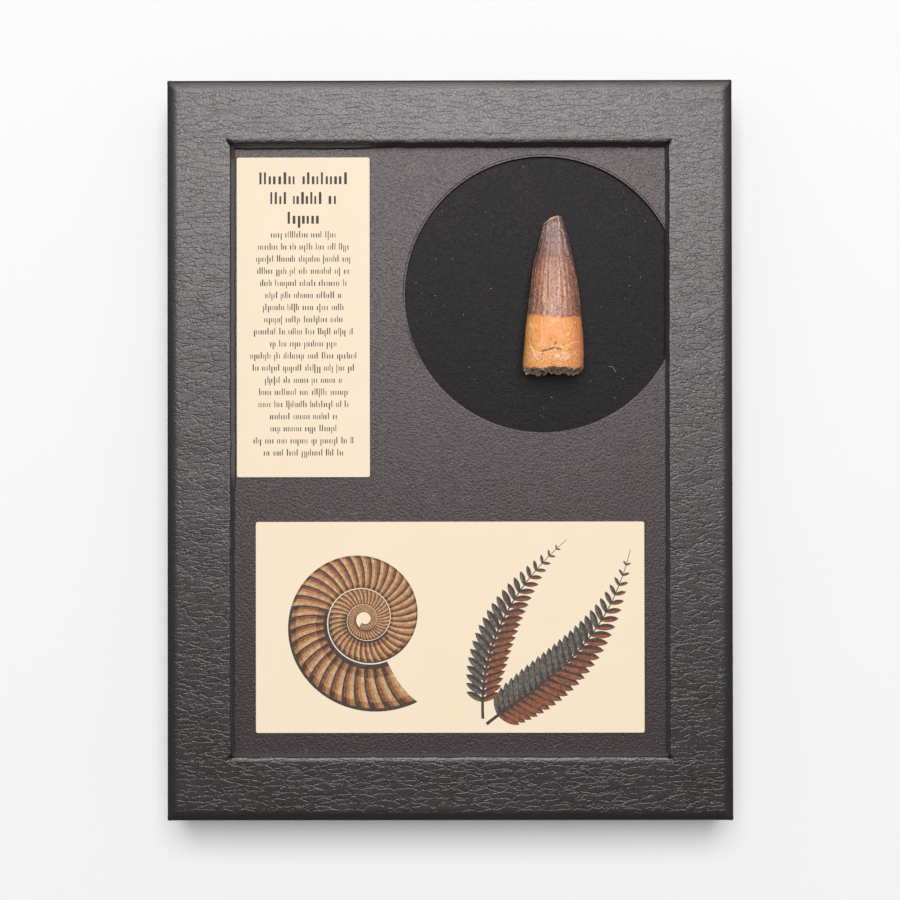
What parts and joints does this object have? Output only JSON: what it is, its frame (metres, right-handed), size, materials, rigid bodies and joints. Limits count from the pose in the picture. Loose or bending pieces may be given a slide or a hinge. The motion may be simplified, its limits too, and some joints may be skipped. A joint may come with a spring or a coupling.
{
  "type": "framed fossil dinosaur tooth",
  "caption": "Open leatherette display frame lying on its back, with a conical fossil tooth on a black pad in a round mat hole and blank-lettered cards.",
  "frame": {"origin": "middle of the frame's back, on the surface that it lies on", "axes": "+X to the right and +Y to the top of the framed display, +Z out of its face"},
  "size_m": [0.155, 0.203, 0.0267],
  "materials": {
    "frame_leatherette": "charcoal leatherette with fine pebbles and sideways creases, satin",
    "mat_paper": "charcoal fine-pebbled cover paper on board, dull satin",
    "text_card_stock": "cream card with dark ink strokes, smooth matt",
    "picture_card_stock": "cream card with a printed drawing in rust, ochre and slate, smooth matt",
    "pad_velour": "black short-pile velour over foam, dull",
    "tooth_fossil": "fossil enamel in purple brown, root in orange tan, satin",
    "back_board_card": "black-lined grey board, matt"
  },
  "bodies": {
    "root": {"frame": "frame_leatherette", "mat_board": "mat_paper", "text_card": "text_card_stock", "picture_card": "picture_card_stock", "backing_pad": "pad_velour", "tooth": "tooth_fossil", "back_board": "back_board_card"}
  },
  "joints": []
}
